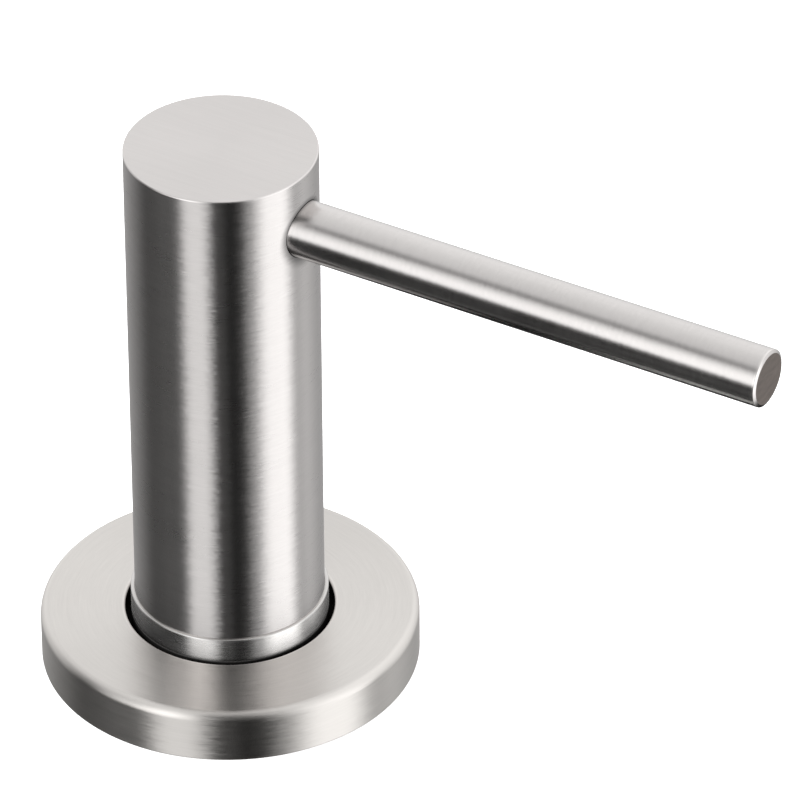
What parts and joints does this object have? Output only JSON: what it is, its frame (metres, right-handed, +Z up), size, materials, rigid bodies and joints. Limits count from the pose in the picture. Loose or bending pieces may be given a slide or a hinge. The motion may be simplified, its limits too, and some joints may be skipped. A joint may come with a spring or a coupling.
{
  "type": "deck-mounted soap pump dispenser",
  "caption": "Deck-mounted soap pump dispenser: tall cylindrical press-down head with a thin straight spout, round flange, threaded shank with clamp nut, pump cartridge and bottle under the deck.",
  "frame": {"origin": "on the shank axis at the deck surface, the underside of the deck gasket", "axes": "+Z up out of the deck along the shank axis, +X along the spout"},
  "size_m": [0.1215, 0.066, 0.2945],
  "materials": {
    "head_steel": "fine circumferential brushing",
    "spout_steel": "fine lengthwise brushing",
    "flange_steel": "fine circumferential brushing",
    "shank_steel": "turned",
    "washer_steel": "stamped, lightly brushed",
    "core_plastic": "moulded acetal",
    "pump_plastic": "moulded natural polypropylene",
    "cap_plastic": "moulded white polypropylene",
    "nozzle_plastic": "moulded",
    "seal_rubber": "moulded",
    "gasket_rubber": "die cut sheet",
    "nut_plastic": "moulded glass-filled nylon",
    "bottle_plastic": "blow moulded natural polyethylene",
    "tube_plastic": "extruded",
    "spring_steel": "drawn wire",
    "ball_steel": "ground and polished"
  },
  "bodies": {
    "base": {"flange": "flange_steel", "flange_o_ring": "seal_rubber", "threaded_shank": "shank_steel", "deck_gasket": "gasket_rubber"},
    "cartridge": {"cartridge_gasket": "seal_rubber", "pump_cap": "cap_plastic", "wiper_seal": "seal_rubber", "pump_chamber": "pump_plastic", "valve_cage": "pump_plastic", "inlet_check_ball": "ball_steel", "return_spring": "spring_steel", "dip_tube": "tube_plastic"},
    "plunger": {"pump_stem": "pump_plastic", "piston": "pump_plastic", "piston_seal": "seal_rubber", "outlet_check_ball": "ball_steel"},
    "head": {"head_tube": "head_steel", "head_top_disc": "head_steel", "head_core": "core_plastic", "spout": "spout_steel", "spout_nozzle": "nozzle_plastic", "spout_o_ring": "seal_rubber", "stem_o_ring": "seal_rubber"},
    "washers": {"rubber_washer": "gasket_rubber", "steel_washer": "washer_steel"},
    "nut": {"mounting_nut": "nut_plastic"},
    "soap_bottle": {"bottle": "bottle_plastic"}
  },
  "joints": [
    {"name": "cartridge_lift", "type": "slide", "parent": "base", "child": "cartridge", "axis": [0, 0, 1], "range_m": [0, 0.21]},
    {"name": "pump_press", "type": "slide", "parent": "cartridge", "child": "plunger", "axis": [0, 0, 1], "range_m": [-0.012, 0], "stiffness_N_per_m": 350, "springref_m": 0.012, "deforming": ["return_spring"]},
    {"name": "head_swivel", "type": "hinge", "parent": "plunger", "child": "head", "pos_m": [0, 0, 0.05], "axis": [0, 0, 1], "continuous": true},
    {"name": "clamp_travel", "type": "slide", "parent": "base", "child": "washers", "axis": [0, 0, 1], "range_m": [-0.01951, 0.01801]},
    {"name": "nut_spin", "type": "hinge", "parent": "washers", "child": "nut", "pos_m": [0, 0, -0.0335], "axis": [0, 0, 1], "range_deg": [-4680, 4320]},
    {"name": "bottle_drop", "type": "slide", "parent": "base", "child": "soap_bottle", "axis": [0, 0, 1], "range_m": [-0.15, 0]}
  ],
  "couplings": [
    {"joint": "clamp_travel", "follows": "nut_spin", "m_per_rad": 0.00023873}
  ]
}
